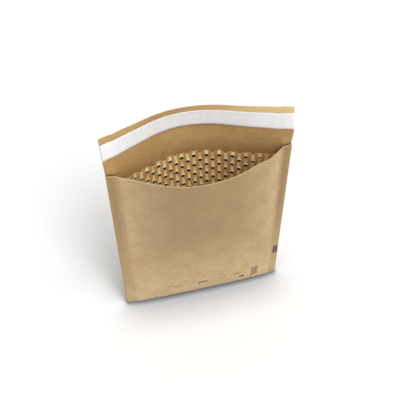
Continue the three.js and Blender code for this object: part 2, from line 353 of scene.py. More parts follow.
    def room(self, u, rise):
        """Room between the two walls, less the papers on both sides."""
        s = self.sizes
        radius, flat, _ = self.fold(u)
        at_fold = 2 * (radius + flat)
        at_mouth = self.mouth_offset(u, FRONT) + self.mouth_offset(u, BACK)
        share = rise / s.panel_height
        return at_fold * (1 - share) + at_mouth * share - 2 * (s.seam_stack / 2)


class Ripples:
    """Soft handling waves in the paper, the same for every layer."""

    # Wavelength in millimetres, direction in radians, height in millimetres and phase in radians
    WAVES = (
        (75, 0.9, 0.42, 0.4), (46, 2.2, 0.30, 1.9), (31, -0.6, 0.20, 4.1),
        (22, 1.4, 0.13, 2.6), (17, -1.9, 0.09, 5.3),
    )
    ABOVE_FOLD = 40 * MM
    AT_MOUTH = 20 * MM

    def depth(self, form, u, side, rise):
        total = np.zeros_like(u)
        for wavelength, direction, height, phase in self.WAVES:
            along = u * math.cos(direction) + side * rise * math.sin(direction)
            total += height * MM * np.sin(2 * math.pi * along / (wavelength * MM) + phase)
        above_fold = np.clip((rise - form.wall_start) / self.ABOVE_FOLD, 0, 1)
        past_mouth = rise - form.sizes.panel_height
        below_flap = np.clip((self.AT_MOUTH / 2 - past_mouth) / self.AT_MOUTH, 0, 1)
        return total * form.lens(u) * above_fold * below_flap


class Stations:
    """Lines across the sheet, from the front edge down, round the fold and up the back."""

    # About the angle that the fold turns through, in radians
    FOLD_SWEEP = 1.5

    def __init__(self, form, front_rises, back_rises, fold_steps=4):
        turns = np.linspace(0, 1, fold_steps + 1)
        empty = np.zeros_like(turns)
        self.side = np.concatenate([
            np.full(len(front_rises), FRONT), np.full(len(turns), FRONT),
            np.full(len(turns), BACK), np.full(len(back_rises), BACK),
        ]).astype(float)
        self.turn = np.concatenate([
            np.ones(len(front_rises)), turns[::-1], turns, np.ones(len(back_rises))
        ])
        self.rise = np.concatenate([
            np.sort(front_rises)[::-1], empty, empty, np.sort(back_rises)
        ])
        swept = self.turn * form.sizes.fold_radius * self.FOLD_SWEEP
        on_fold = form.sizes.floor_depth / 2 + swept
        self.along = self.side * np.where(self.rise > 0, self.rise, on_fold)


class BackStations:
    """Lines across the back and the flap only."""

    def __init__(self, rises):
        self.rise = np.asarray(rises)
        self.side = np.full(len(self.rise), float(BACK))
        self.turn = np.ones(len(self.rise))
        self.along = self.rise


def new_object(name, mesh):
    piece = bpy.data.objects.new(name, mesh)
    bpy.context.scene.collection.objects.link(piece)
    return piece


def flat_grid(columns, rows):
    """A bmesh grid whose points carry their column and row as x and y."""
    grid = bmesh.new()
    bmesh.ops.create_grid(grid, x_segments=columns - 1, y_segments=rows - 1, size=1)
    half = Vector(((columns - 1) / 2, (rows - 1) / 2, 1))
    bmesh.ops.translate(grid, verts=grid.verts, vec=(1, 1, 0))
    bmesh.ops.scale(grid, verts=grid.verts, vec=half)
    return grid


def coordinates(mesh):
    values = np.empty(len(mesh.vertices) * 3)
    mesh.vertices.foreach_get("co", values)
    return values.reshape(-1, 3)


def set_coordinates(mesh, points):
    mesh.vertices.foreach_set("co", points.astype(np.float32).ravel())
    mesh.update()


def lay_out(form, mesh, u, along):
    """A UV map of the sheet laid flat: 0 to 1 across the width and from front edge to flap edge."""
    uv = mesh.uv_layers.new(name="flat_sheet")
    corner = np.empty(len(mesh.loops), int)
    mesh.loops.foreach_get("vertex_index", corner)
    total = form.sizes.panel_height + form.flap_end
    flat = np.stack([
        (u[corner] + form.half) / form.sizes.width,
        (along[corner] + form.sizes.panel_height) / total,
    ], 1)
    uv.data.foreach_set("uv", flat.astype(np.float32).ravel())


def point_value(mesh, name, values):
    attribute = mesh.attributes.new(name, "FLOAT", "POINT")
    attribute.data.foreach_set("value", values.astype(np.float32))


def bend_sheet(form, name, columns_at, stations, depth):
    """A flat grid bent to the form, its faces towards the outside. depth is a value or a function."""
    grid = flat_grid(len(columns_at), len(stations.rise))
    bmesh.ops.reverse_faces(grid, faces=grid.faces)
    mesh = bpy.data.meshes.new(name)
    grid.to_mesh(mesh)
    grid.free()
    index = np.rint(coordinates(mesh)).astype(int)
    u = np.asarray(columns_at)[index[:, 0]]
    side, turn, rise = (
        values[index[:, 1]] for values in (stations.side, stations.turn, stations.rise)
    )
    if callable(depth):
        depth = depth(u, side, rise)
    set_coordinates(mesh, form.place(u, side, turn, rise, depth))
    lay_out(form, mesh, u, stations.along[index[:, 1]])
    mesh.polygons.foreach_set("use_smooth", np.ones(len(mesh.polygons), bool))
    return mesh


def thicken(piece, thickness):
    """Gives the sheet its paper thickness, towards the pocket."""
    solid = piece.modifiers.new("Paper thickness", "SOLIDIFY")
    solid.thickness = thickness
    solid.offset = -1
    solid.use_even_offset = False


def finish_piece(piece, material, slot, *nodes):
    piece.data.materials.append(material)
    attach(piece, BODY)
    if nodes:
        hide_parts(*nodes)


def add(tree, kind, inputs=None, **settings):
    """Adds a shader node with its settings, and fills or links its inputs by name or number. A node
    given as an input is linked by its first output, and a colour gets its alpha here."""
    node = tree.nodes.new("ShaderNode" + kind)
    for name, value in settings.items():
        setattr(node, name, value)
    for name, value in (inputs or {}).items():
        socket = node.inputs[name]
        if isinstance(value, bpy.types.Node):
            value = value.outputs[0]
        if isinstance(value, bpy.types.NodeSocket):
            tree.links.new(value, socket)
        elif socket.type == "RGBA":
            socket.default_value = (*value, 1)
        else:
            socket.default_value = value
    return node


def new_material(name):
    made = bpy.data.materials.new(name)
    made.use_nodes = True
    made.node_tree.nodes.clear()
    return made, made.node_tree


def finish_surface(tree, inputs):
    """Ends a material with its shader and its output."""
    add(tree, "OutputMaterial", {"Surface": add(tree, "BsdfPrincipled", inputs)})


def laid_over(tree, under, over, pattern, none_at=0.0, full_at=1.0, amount=1.0):
    """A colour over another one: none of it where the pattern is at none_at, and its whole amount
    where the pattern is at full_at."""
    share = add(tree, "MapRange", {0: pattern, 1: none_at, 2: full_at, 3: 0.0, 4: amount})
    return add(tree, "Mix", {0: share, 6: under, 7: over}, data_type="RGBA").outputs[2]


def grains(tree, place, width, height, detail=3.0, roughness=0.6):
    """Noise in grains of a width and a height, in the units of the place."""
    stretched = add(tree, "Mapping", {"Vector": place, "Scale": (1 / width, 1 / height, 1 / width)})
    return add(
        tree, "TexNoise", {"Vector": stretched, "Scale": 1.0, "Detail": detail, "Roughness": roughness}
    )


def flat_sheet(tree, form):
    """Where a point lies on the sheet laid flat, in millimetres."""
    uv = add(tree, "UVMap", uv_map="flat_sheet")
    total = form.sizes.panel_height + form.flap_end
    return add(tree, "Mapping", {"Vector": uv, "Scale": (form.sizes.width / MM, total / MM, 1)})


def from_edges(tree, form, flat):
    """Distances on the flat sheet: from its left side, from the front's mouth and from the nearer side."""
    from_left, from_mouth, _ = add(tree, "SeparateXYZ", {"Vector": flat}).outputs
    from_right = add(tree, "Math", {0: form.sizes.width / MM, 1: from_left}, operation="SUBTRACT")
    from_side = add(tree, "Math", {0: from_left, 1: from_right}, operation="MINIMUM")
    return from_left, from_mouth, from_side


def distance_to(tree, value, place):
    away = add(tree, "Math", {0: value, 1: place}, operation="SUBTRACT")
    return add(tree, "Math", {0: away}, operation="ABSOLUTE")


# Sizes of the patterns in the papers, in millimetres. The finest ones are coarser than real fibres,
# which wouldn't show.
PULP_CLOUD = 28.57
PULP_FIBRE = 2.857
PULP_STREAK = (8.333, 1.111)
SEAM_CRIMP = (16.67, 5.0)
WAVERING_EDGE = 8.333
SLIT_PAPER_FIBRE = 1.667
RELEASE_COCKLE = (10.0, 33.33)
GLUE_STREAK = 2.5
INK_SPECKLE = 1.25

# Between which values of a pattern its tone comes in
CLOUD_TONES = (0.37, 0.67)
FIBRE_TONES = (0.42, 0.62)
STREAK_TONES = (0.45, 0.62)
WAVER_TONES = (0.3, 0.7)
RIDGE_LIGHT_TONES = (0.15, 0.7)
SLIT_PAPER_TONES = (0.45, 0.65)
COCKLE_TONES = (0.4, 0.65)
GLUE_TONES = (0.4, 0.7)
SPECKLE_TONES = (0.35, 0.65)

# How strongly a tone shows, from 0 to 1
PAINTED_LIGHT_SIDE_TONE = 0.6
PRESSED_SHADE_FOLD_TONE = 0.3
WORN_MOUTH_TONE = 0.4
SIDE_RIM_TONE = 0.5
FOLD_RIM_TONE = 0.6
WEB_SHADOW_TONE = 0.5
HEM_HIGHLIGHT_TONES = (0.2, 0.95)
GAP_SHADOW_TONE = 0.7
SLIT_PAPER_TONE = 0.42
BROKEN_INK_TONE = 0.6

# How far the tones of the kraft paper reach from the fold, the sides and the mouth, in millimetres
PAINTED_LIGHT_FROM_FOLD = 170.0
PAINTED_LIGHT_FROM_SIDE = (10.0, 75.0)
PRESSED_SHADE_FROM_FOLD = (30.0, 190.0)
WORN_MOUTH = (2.0, 0.6)
SIDE_RIM = (0.6, 4.5)
FOLD_RIM = 14.0

# Where the paper is pressed, and darkened with painted shade, and crimped beside the seams, in seam widths
# from the side
PRESSED_SHADE_FROM_SIDE = (0.7, 1.5)
CRIMPED_AT = 1.6
CRIMPED_REACH = 0.7
CRIMP_HEIGHT = 5.0

# Where the tones of the inner side lie, in millimetres
SHADE_BEHIND_WEB = (2.5, 1.0)
WEB_SHADOW = (9.0, -1.0)
WAVER = 3.0
HEM_PAINTED_HIGHLIGHT = (70.0, 180.0)
HEM_CREASE = 0.5
SEAM_FADE = 2.0
GAP_SHADOW_BELOW_MOUTH = 2.8
GAP_SHADOW = (1.0, 2.0)


def kraft_paper(tree, form, flat, base, light, dark, rim, mottle, pressing_and_shade):
    """The colour and the relief of kraft paper: unbleached pulp in clouds, fibres and streaks. Painted
    light makes it paler towards the fold and the sides. Beside the seams it is darker, partly pressed and
    partly painted shade, and it is warmer along its rim."""
    _, from_mouth, from_side = from_edges(tree, form, flat)
    from_fold = distance_to(tree, from_mouth, form.sizes.panel_height / MM)
    seam = form.sizes.seam_width / MM
    clouds = grains(tree, flat, PULP_CLOUD, PULP_CLOUD)
    fibres = grains(tree, flat, PULP_FIBRE, PULP_FIBRE, 4.0, 0.7)
    streaks = grains(tree, flat, *PULP_STREAK, 3.0, 0.65)
    # Painted light: paler towards the fold and the sides.
    full, end = PAINTED_LIGHT_FROM_SIDE
    painted_light_by_side = add(tree, "MapRange", {0: from_side, 1: full, 2: end, 3: PAINTED_LIGHT_SIDE_TONE, 4: 0.0})
    painted_light_by_fold = add(tree, "MapRange", {0: from_fold, 1: 0.0, 2: PAINTED_LIGHT_FROM_FOLD, 3: 1.0, 4: 0.0})
    painted_light = add(tree, "Math", {0: painted_light_by_fold, 1: painted_light_by_side}, operation="MAXIMUM")
    skin = laid_over(tree, base, light, painted_light)
    skin = laid_over(tree, skin, dark, clouds, *CLOUD_TONES, 0.9 * mottle)
    skin = laid_over(tree, skin, dark, fibres, *FIBRE_TONES, mottle)
    skin = laid_over(tree, skin, dark, streaks, *STREAK_TONES, mottle)
    # Darker beside the seams and less so towards the fold: partly pressed paper, partly painted shade of
    # the swell beside them.
    full, end = (share * seam for share in PRESSED_SHADE_FROM_SIDE)
    by_seam = add(tree, "MapRange", {0: from_side, 1: full, 2: end, 3: pressing_and_shade, 4: 0.0})
    start, full = PRESSED_SHADE_FROM_FOLD
    least = PRESSED_SHADE_FOLD_TONE
    by_height = add(tree, "MapRange", {0: from_fold, 1: start, 2: full, 3: least, 4: 1.0})
    pressed = add(tree, "Math", {0: by_seam, 1: by_height}, operation="MULTIPLY")
    skin = laid_over(tree, skin, dark, pressed)
    skin = laid_over(tree, skin, light, from_mouth, *WORN_MOUTH, WORN_MOUTH_TONE)
    full, end = SIDE_RIM
    side_rim = add(tree, "MapRange", {0: from_side, 1: full, 2: end, 3: SIDE_RIM_TONE, 4: 0.0})
    fold_rim = add(tree, "MapRange", {0: from_fold, 1: 0.0, 2: FOLD_RIM, 3: FOLD_RIM_TONE, 4: 0.0})
    rim_share = add(tree, "Math", {0: side_rim, 1: fold_rim}, operation="MAXIMUM")
    skin = laid_over(tree, skin, rim, rim_share)
    from_crimps = distance_to(tree, from_side, CRIMPED_AT * seam)
    reach = CRIMPED_REACH * seam
    crimped = add(tree, "MapRange", {0: from_crimps, 1: 0.0, 2: reach, 3: CRIMP_HEIGHT, 4: 0.0})
    crimps = grains(tree, flat, *SEAM_CRIMP, 2.0)
    height = add(tree, "Math", {0: crimps, 1: crimped, 2: streaks}, operation="MULTIPLY_ADD")
    height = add(tree, "Math", {0: height, 1: fibres}, operation="ADD")
    return skin, add(tree, "Bump", {"Strength": 0.5, "Distance": 0.2 * MM, "Height": height})


def kraft_outside(form, colours):
    """The outer side: kraft paper pressed smooth between rollers, so it is matt with a faint sheen."""
    made, tree = new_material("kraft_paper")
    skin, relief = kraft_paper(
        tree, form, flat_sheet(tree, form), colours.kraft, colours.kraft_light, colours.kraft_dark,
        colours.kraft_edge, mottle=0.35, pressing_and_shade=0.85,
    )
    finish_surface(tree, {
        "Base Color": skin, "Roughness": 0.8, "Specular IOR Level": 0.25, "Normal": relief
    })
    return made


def kraft_inside(form, colours):
    """The inner side: the same paper, warmer by its own reflected light, with painted shade above the web
    and behind it. A painted shadow of the gap between the leaves shows at the mouth in the seams, and the
    hem has a painted highlight at its right."""
    made, tree = new_material("kraft_paper_inside")
    flat = flat_sheet(tree, form)
    skin, relief = kraft_paper(
        tree, form, flat, colours.kraft_inside, colours.kraft_inside, colours.kraft_inside_dark,
        colours.kraft, mottle=0.4, pressing_and_shade=0.15,
    )
    from_left, from_mouth, from_side = from_edges(tree, form, flat)
    panel = form.sizes.panel_height / MM
    seam = form.sizes.seam_width / MM
    web_top = 2 * panel - bpy.context.scene.lining_sizes.inset / MM
    clouds = grains(tree, flat, WAVERING_EDGE, WAVERING_EDGE)
    low, high = WAVER_TONES
    waver = add(tree, "MapRange", {0: clouds, 1: low, 2: high, 3: -WAVER, 4: WAVER})
    wavering = add(tree, "Math", {0: from_mouth, 1: waver}, operation="ADD")
    end, full = (web_top + above for above in WEB_SHADOW)
    skin = laid_over(tree, skin, colours.lining_fibre_and_shadow, wavering, end, full, WEB_SHADOW_TONE)
    # Painted highlight on the hem, stronger towards its right end.
    hem = panel + form.hem_start / MM
    on_hem = add(tree, "MapRange", {0: from_mouth, 1: hem - HEM_CREASE, 2: hem})
    start, full = HEM_PAINTED_HIGHLIGHT
    least, most = HEM_HIGHLIGHT_TONES
    to_right = add(tree, "MapRange", {0: from_left, 1: start, 2: full, 3: least, 4: most})
    sheen = add(tree, "Math", {0: on_hem, 1: to_right}, operation="MULTIPLY")
    skin = laid_over(tree, skin, colours.hem_painted_highlight, sheen)
    # Painted shadow of the gap between the leaves at the top of each seam.
    from_gap_shadow = distance_to(tree, from_mouth, 2 * panel - GAP_SHADOW_BELOW_MOUTH)
    full, end = GAP_SHADOW
    in_line = add(tree, "MapRange", {0: from_gap_shadow, 1: full, 2: end, 3: 1.0, 4: 0.0})
    in_seam = add(tree, "MapRange", {0: from_side, 1: seam, 2: seam + SEAM_FADE, 3: 1.0, 4: 0.0})
    painted_gap_shadow = add(tree, "Math", {0: in_seam, 1: in_line}, operation="MULTIPLY")
    skin = laid_over(tree, skin, colours.kraft_painted_shade, painted_gap_shadow, amount=GAP_SHADOW_TONE)
    # Painted shade: the kraft behind the web, seen through its slits, is painted nearly black.
    full, end = (web_top - below for below in SHADE_BEHIND_WEB)
    under_web = add(tree, "MapRange", {0: from_mouth, 1: full, 2: end, 3: 1.0, 4: 0.0})
    off_seam = add(tree, "MapRange", {0: from_side, 1: seam, 2: seam + SEAM_FADE})
    behind = add(tree, "Math", {0: under_web, 1: off_seam}, operation="MULTIPLY")
    skin = laid_over(tree, skin, colours.kraft_painted_shade, behind)
    finish_surface(tree, {
        "Base Color": skin, "Roughness": 0.8, "Specular IOR Level": 0.25, "Normal": relief
    })
    return made


def kraft_cut(colours):
    """The cut edge: the bare pulp shows, rougher than the pressed faces."""
    made, tree = new_material("kraft_cut_edge")
    finish_surface(tree, {"Base Color": colours.kraft_pulp, "Roughness": 0.9})
    return made


def slit_paper(form, colours):
    """Slit kraft paper: thinner and rougher than the sheet outside, with painted light on its ridges,
    painted shade between them and towards each sill, and a painted highlight on the lips.
    """
    made, tree = new_material("slit_kraft_paper")
    # The ridge attribute carries painted light on the ridges and painted shade between them.
    ridge = add(tree, "Attribute", attribute_name="ridge").outputs["Fac"]
    # The lip attribute carries a painted highlight on the lips.
    lip = add(tree, "Attribute", attribute_name="lip").outputs["Fac"]
    fibres = grains(tree, flat_sheet(tree, form), SLIT_PAPER_FIBRE, SLIT_PAPER_FIBRE, 3.0, 0.75)
    skin = laid_over(tree, colours.lining_painted_shade, colours.lining, ridge, *RIDGE_LIGHT_TONES)
    skin = laid_over(
        tree, skin, colours.lining_fibre_and_shadow, fibres, *SLIT_PAPER_TONES, SLIT_PAPER_TONE
    )
    skin = laid_over(tree, skin, colours.lining_painted_highlight, lip)
    relief = add(tree, "Bump", {"Strength": 0.4, "Distance": 0.3 * MM, "Height": fibres})
    finish_surface(tree, {
        "Base Color": skin, "Roughness": 0.85, "Specular IOR Level": 0.25, "Normal": relief
    })
    return made


def release_paper(form, colours):
    """Release paper: bleached and silicone coated, so it is smooth and white with a soft sheen."""
    made, tree = new_material("release_paper")
    cockles = grains(tree, flat_sheet(tree, form), *RELEASE_COCKLE, 2.0)
    # Painted shade: darker where the coated paper cockles.
    skin = laid_over(tree, colours.release, colours.release_cockle_shade, cockles, *COCKLE_TONES)
    relief = add(tree, "Bump", {"Strength": 0.2, "Distance": 0.6 * MM, "Height": cockles})
    finish_surface(tree, {"Base Color": skin, "Roughness": 0.42, "Normal": relief})
    return made


def hot_melt(colours):
    """Hot melt: a soft cream resin, extruded, so it is smooth with a wet sheen."""
    made, tree = new_material("hot_melt")
    place = add(tree, "TexCoord").outputs["Object"]
    streaks = grains(tree, place, GLUE_STREAK * MM, GLUE_STREAK * MM, 2.0)
    skin = laid_over(tree, colours.adhesive, colours.adhesive_dark, streaks, *GLUE_TONES)
    finish_surface(tree, {"Base Color": skin, "Roughness": 0.35})
    return made


def printing_ink(colours):
    """Flexographic ink on kraft: thin, matt and broken by the fibres where it is faint."""
    made, tree = new_material("printing_ink")
    place = add(tree, "TexCoord").outputs["Object"]
    strength = add(tree, "Attribute", attribute_name="strength").outputs["Fac"]
    speckles = grains(tree, place, INK_SPECKLE * MM, INK_SPECKLE * MM, 2.0)
    low, high = SPECKLE_TONES
    taken = add(tree, "MapRange", {0: speckles, 1: low, 2: high, 3: 1.0, 4: BROKEN_INK_TONE})
    shown = add(tree, "Math", {0: strength, 1: taken}, operation="MULTIPLY")
    skin = laid_over(tree, colours.kraft, colours.ink, shown)
    finish_surface(tree, {"Base Color": skin, "Roughness": 0.8})
    return made


class ENVELOPE_OT_kraft_sheet(bpy.types.Operator):
    """Fold the outer kraft sheet: front panel, bottom fold, back panel and flap"""

    bl_idname = "envelope.kraft_sheet"
    bl_label = "Kraft sheet"

    LINE_SPACING = 2.2 * MM
    SEAM_LINES = 6
    WALL_LINES = 118
    FLAP_LINES = 34
    FOLD_STEPS = 6

    def execute(self, context):
        form = Form()
        s = form.sizes
        inner_lines = 2 * round(form.inner / self.LINE_SPACING) + 1
        inner = np.linspace(-form.inner, form.inner, inner_lines)
        seam = np.linspace(form.inner, form.half, self.SEAM_LINES)[1:]
        columns_at = np.concatenate([-seam[::-1], inner, seam])
        wall = np.linspace(form.wall_start, s.panel_height, self.WALL_LINES)
        flap = np.linspace(s.panel_height, form.flap_end, self.FLAP_LINES)[1:]
        stations = Stations(form, wall, np.concatenate([wall, flap]), self.FOLD_STEPS)
        mesh = bend_sheet(form, "kraft_sheet", columns_at, stations, form.gape)
        piece = new_object("kraft_sheet", mesh)
        self.line_faces(piece, s.kraft)
        colours = context.scene.envelope_colours
        finish_piece(piece, kraft_outside(form, colours), "kraft_paper", "outer_envelope")
        piece.data.materials.append(kraft_inside(form, colours))
        piece.data.materials.append(kraft_cut(colours))
        return {"FINISHED"}

    @staticmethod
    def line_faces(piece, thickness):
        """Thickens the sheet, with materials of their own on its inner side and its cut edge."""
        thicken(piece, thickness)
        solid = piece.modifiers[0]
        solid.material_offset = 1
        solid.material_offset_rim = 2


class LiningGrid:
    """Where the lines of the slit paper run, and which line is a slit."""

    # Lines across a slit, as shares of its half length, and a line in each seam
    SLIT_LINES = (-1, -0.66, -0.33, 0, 0.33, 0.66, 1)
    SEAM_LINE = 4 * MM
    SAME_LINE = 1e-4
    SAME_PLACE = 0.001 * MM
    DECIMALS = 7

    def __init__(self, form, sizes):
        self.form = form
        self.sizes = sizes
        self.top = form.sizes.panel_height - sizes.inset
        self.pitch = 2 * form.inner / sizes.columns
        self.row = (self.top - form.wall_start) / sizes.rows

    def columns_at(self):
        """Lines at each cell's middle, across its slit and between two cells, and in the seams."""
        slit_lines = self.sizes.slit_half * np.array(self.SLIT_LINES)
        centres = -self.form.inner + self.pitch * np.arange(self.sizes.columns + 1)
        cells = [centre + offset for centre in centres for offset in (*slit_lines, self.pitch / 2)]
        padded = [u for u in cells if abs(u) <= self.form.inner + self.SAME_PLACE]
        seam = [self.form.inner + self.SEAM_LINE, self.form.half - self.sizes.trim]
        return np.unique(np.round([*padded, *seam, *(-u for u in seam)], self.DECIMALS))

    def rises(self, fine_rows, fine, coarse):
        """Lines up a wall. Each half cell has the shares of fine, or of coarse below the fine rows."""
        lines = []
        for row in range(self.sizes.rows):
            shares = fine if row < fine_rows else coarse
            lines += [self.top - (row + share) * self.row for share in shares]
        return np.array(lines + [self.form.wall_start])

    def nearest_column(self, u):
        column = np.clip(np.rint((u + self.form.inner) / self.pitch), 0, self.sizes.columns)
        return column.astype(int), u - (column * self.pitch - self.form.inner)

    def slit_row(self, rise):
        """The number of the slit line at a rise, or None."""
        if rise == 0:
            return None
        place = (self.top - rise) / self.row
        row = round(place)
        return row if abs(place - row) < self.SAME_LINE and 0 < row < self.sizes.rows else None


class Cells:
    """Where each point of the slit paper lies in its cell. The phase runs from 0 at the cell's sill to
    1 at its lip, up the wall from one slit to the next."""

    RAGGED_SEED = 7
    UNEVEN_SEED = 11
    UNEVEN = (0.65, 1.15)
    LIP_HIGHLIGHT_SEED = 5
    LIP_HIGHLIGHT_RANGE = (0.25, 1.4)
    SQUASHED = 0.4
    # The share of the ridges' bulge, and of their painted light, that is left at a sill and at the web's
    # top
    BULGE_AT_SILL = 0.3
    BULGE_AT_TOP = 0.35
    PAINTED_LIGHT_AT_SILL = 0.4
    PAINTED_LIGHT_IN_SEAM = 0.5
    # How blunt a lip's flare is along its slit, and how steeply it rises to the lip
    FLARE_BLUNTNESS = 0.7
    FLARE_STEEPNESS = 7
    # Where the painted highlight on a lip starts and how far it takes to show, and how blunt it is along
    # its slit
    LIP_START = 0.85
    LIP_FADE = 0.06
    LIP_BLUNTNESS = 0.5

    def __init__(self, grid, mesh, columns_at, stations, above):
        self.form = grid.form
        self.sizes = grid.sizes
        index = np.rint(coordinates(mesh)).astype(int)
        self.u = columns_at[index[:, 0]]
        self.along = stations.along[index[:, 1]]
        self.side, self.turn, self.rise = (
            values[index[:, 1]] for values in (stations.side, stations.turn, stations.rise)
        )
        self.column, offset = grid.nearest_column(self.u)
        self.place = np.where(self.rise > 0, (grid.top - self.rise) / grid.row, 0)
        self.at_top = self.place < grid.SAME_LINE
        self.on_wall = (self.rise > 0) & (np.abs(self.u) < self.form.inner)
        self.ridge = np.cos(math.pi * offset / grid.pitch) ** 2
        self.arch = np.clip(1 - (offset / self.sizes.slit_half) ** 2, 0, 1)
        phase = ((self.place + self.column) % 2) / 2
        self.on_slit = np.minimum(phase, 1 - phase) < grid.SAME_LINE
        facing = above * self.side
        at_cut = np.where(facing > 0, 1.0, np.where(facing < 0, 0.0, 0.5))
        self.phase = np.where(self.on_slit, at_cut, phase)

    def random_share(self, seed, limits, number):
        """A random share for each numbered cell or slit of each column, on both walls."""
        wall = 2 * self.sizes.rows
        rng = np.random.default_rng(seed)
        shares = rng.uniform(*limits, (self.sizes.columns + 1, 2 * wall))
        row = number.astype(int) + np.where(self.side > 0, 0, wall)
        return shares[self.column, np.clip(row, 0, 2 * wall - 1)]

    def unevenness(self):
        """Each cell is pulled open a little more or less than its neighbours."""
        cell = np.floor((self.place + self.column) / 2)
        return np.where(self.on_slit, 1.0, self.random_share(self.UNEVEN_SEED, self.UNEVEN, cell))

    def lip_highlight_share(self):
        """How strong each slit's painted highlight is: some lips are white and some hardly."""
        slit = np.rint((self.place + self.column) / 2)
        return self.random_share(self.LIP_HIGHLIGHT_SEED, self.LIP_HIGHLIGHT_RANGE, slit)

    def openness(self, uneven):
        """How far each point's cell is open: less where the walls lie close and beside the seams."""
        s = self.sizes
        full = s.stand_off + s.ridge + s.flare
        room = s.share_of_room * np.maximum(0, self.form.room(self.u, self.rise)) / full
        from_seam = np.clip((self.form.inner - np.abs(self.u)) / s.squashed_reach, self.SQUASHED, 1)
        return np.minimum(1, room) * self.on_wall * uneven * from_seam

    def bulge(self):
        """How far the open web stands off its own depth towards the pocket."""
        s = self.sizes
        above_sill = self.BULGE_AT_SILL + (1 - self.BULGE_AT_SILL) * self.phase
        flare = s.flare * self.arch ** self.FLARE_BLUNTNESS * self.phase ** self.FLARE_STEEPNESS
        bulge = s.stand_off + s.ridge * self.ridge * above_sill + flare
        return bulge * np.clip(self.place * 2, self.BULGE_AT_TOP, 1)

    def pull(self, share):
        """How far each point is pulled up or down its wall. The upper edge is torn off unevenly."""
        s = self.sizes
        rng = np.random.default_rng(self.RAGGED_SEED)
        ragged = rng.uniform(-1, 1, len(self.u)) * s.ragged
        slit = self.arch * (s.lip_lift * self.phase - s.sill_drop * (1 - self.phase)) * share
        return slit + np.where(self.at_top & self.on_wall, ragged, 0)

    def ridge_painted_light(self, uneven):
        # Painted light on the ridges, fading to painted shade between them and towards each sill, varied a
        # little by cell.
        tone = self.ridge * (self.PAINTED_LIGHT_AT_SILL + (1 - self.PAINTED_LIGHT_AT_SILL) * self.phase) * uneven
        return np.where(self.on_wall, tone, self.PAINTED_LIGHT_IN_SEAM)

    def lip_painted_highlight(self, share):
        near_lip = np.clip((self.phase - self.LIP_START) / self.LIP_FADE, 0, 1)
        lip = self.arch ** self.LIP_BLUNTNESS * near_lip * share
        return np.where(self.on_wall, np.clip(lip * self.lip_highlight_share(), 0, 1), 0)


class ENVELOPE_OT_slit_lining(bpy.types.Operator):
    """Pull the slit paper web open inside the envelope, with a lip and a sill at each slit"""

    bl_idname = "envelope.slit_lining"
    bl_label = "Slit lining"

    # Lines in a half cell, as shares of its height, and how many half cells have the fine ones
    FINE = (0.0, 0.2, 0.45, 0.65, 0.8, 0.91)
    COARSE = (0.0, 0.6)
    FRONT_FINE_ROWS = 3
    BACK_FINE_ROWS = 12

    def execute(self, context):
        form = Form()
        sizes = context.scene.lining_sizes
        grid = LiningGrid(form, sizes)
        columns_at = grid.columns_at()
        front = grid.rises(self.FRONT_FINE_ROWS, self.FINE, self.COARSE[:1])
        back = grid.rises(self.BACK_FINE_ROWS, self.FINE, self.COARSE)
        stations = Stations(form, front, back)
        sheet = flat_grid(len(columns_at), len(stations.rise))
        bmesh.ops.reverse_faces(sheet, faces=sheet.faces)
        self.cut_slits(sheet, grid, columns_at, stations)
        mesh = bpy.data.meshes.new("slit_lining")
        sheet.to_mesh(mesh)
        above = np.array([self.faces_above(vertex) for vertex in sheet.verts])
        sheet.free()
        self.pull_open(form, mesh, Cells(grid, mesh, columns_at, stations, above))
        piece = new_object("slit_lining", mesh)
        thicken(piece, sizes.paper)
        made = slit_paper(form, context.scene.envelope_colours)
        finish_piece(piece, made, "lining_paper", "honeycomb_lining")
        return {"FINISHED"}

    @staticmethod
    def faces_above(vertex):
        """Whether all of a point's faces lie at later stations (1), earlier ones (-1) or both (0)."""
        offsets = [face.calc_center_median().y - vertex.co.y for face in vertex.link_faces]
        if all(offset > 0 for offset in offsets):
            return 1
        return -1 if all(offset < 0 for offset in offsets) else 0

    @staticmethod
    def cut_slits(sheet, grid, columns_at, stations):
        """Splits the sheet along each slit, on every other line of a column, but not beside the seams."""
        column, offset = grid.nearest_column(columns_at)
        rows = [grid.slit_row(rise) for rise in stations.rise]
        cuts = []
        for edge in sheet.edges:
            a, b = (np.rint(vertex.co).astype(int) for vertex in edge.verts)
            if a[1] != b[1] or rows[a[1]] is None or column[a[0]] != column[b[0]]:
                continue
            if abs(columns_at[a[0]]) > grid.form.inner - grid.pitch:
                continue
            reach = max(abs(offset[a[0]]), abs(offset[b[0]]))
            in_slit = reach <= grid.sizes.slit_half + grid.SAME_PLACE
            if in_slit and (column[a[0]] + rows[a[1]]) % 2 == 0:
                cuts.append(edge)
        bmesh.ops.split_edges(sheet, edges=cuts)

    @staticmethod
    def pull_open(form, mesh, cells):
        """Bends the slit sheet to the form with its cells pulled open."""
        uneven = cells.unevenness()
        share = cells.openness(uneven)
        rise = np.where(cells.rise > 0, cells.rise + cells.pull(share), 0)
        depth = form.sizes.lining_depth + cells.bulge() * share
        lay_out(form, mesh, cells.u, cells.along)
        set_coordinates(mesh, form.place(cells.u, cells.side, cells.turn, rise, depth))
        # The ridge attribute carries painted light and shade.
        point_value(mesh, "ridge", cells.ridge_painted_light(uneven))
        # The lip attribute carries a painted highlight on the lips.
        point_value(mesh, "lip", cells.lip_painted_highlight(share))
        mesh.polygons.foreach_set("use_smooth", np.ones(len(mesh.polygons), bool))


# Lines across and up a band on the flap
BAND_COLUMNS = 110
BAND_ROWS = 9


def flap_band(form, name, trim, lower, upper, depth, thickness):
    """A layer across the inner face of the flap, between two lengths up the back."""
    columns_at = np.linspace(-form.half + trim, form.half - trim, BAND_COLUMNS)
    rises = np.linspace(lower, upper, BAND_ROWS)
    mesh = bend_sheet(form, name, columns_at, BackStations(rises), depth)
    piece = new_object(name, mesh)
    thicken(piece, thickness)
    return piece


